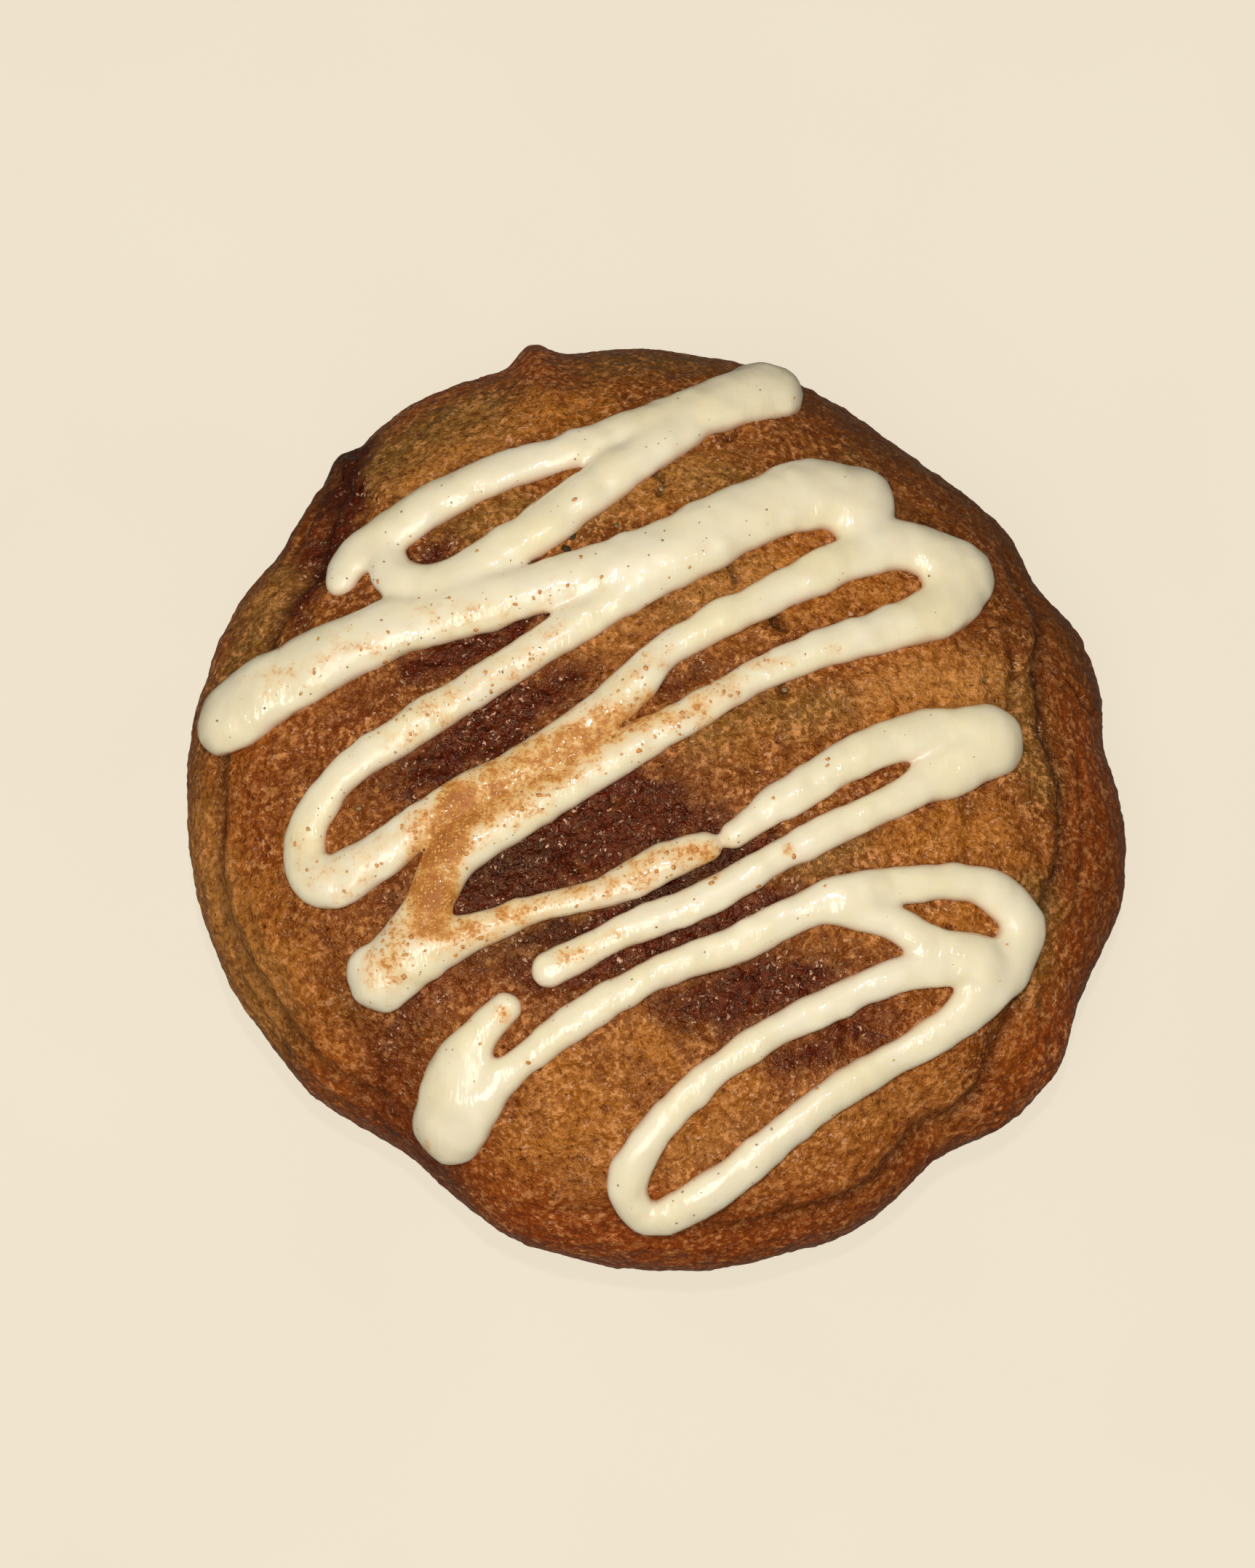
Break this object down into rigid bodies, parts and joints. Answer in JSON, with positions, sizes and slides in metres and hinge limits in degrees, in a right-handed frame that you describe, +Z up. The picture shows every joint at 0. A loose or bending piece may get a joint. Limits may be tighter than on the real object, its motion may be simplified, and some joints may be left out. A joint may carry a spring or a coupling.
{
  "type": "cinnamon roll",
  "caption": "Round baked cinnamon roll with a domed coiled top, thick zigzag icing drizzle fused to it, and a flat base.",
  "frame": {"origin": "middle of the flat base, on the surface that the roll stands on", "axes": "+Z up through the dome, +X to the right and +Y away from the viewer in the picture's view"},
  "size_m": [0.1002, 0.1015, 0.0331],
  "materials": {
    "baked_dough": "satin",
    "icing": "satin",
    "cinnamon": "matte"
  },
  "bodies": {
    "root": {"cinnamon_roll": "baked_dough"}
  },
  "joints": []
}
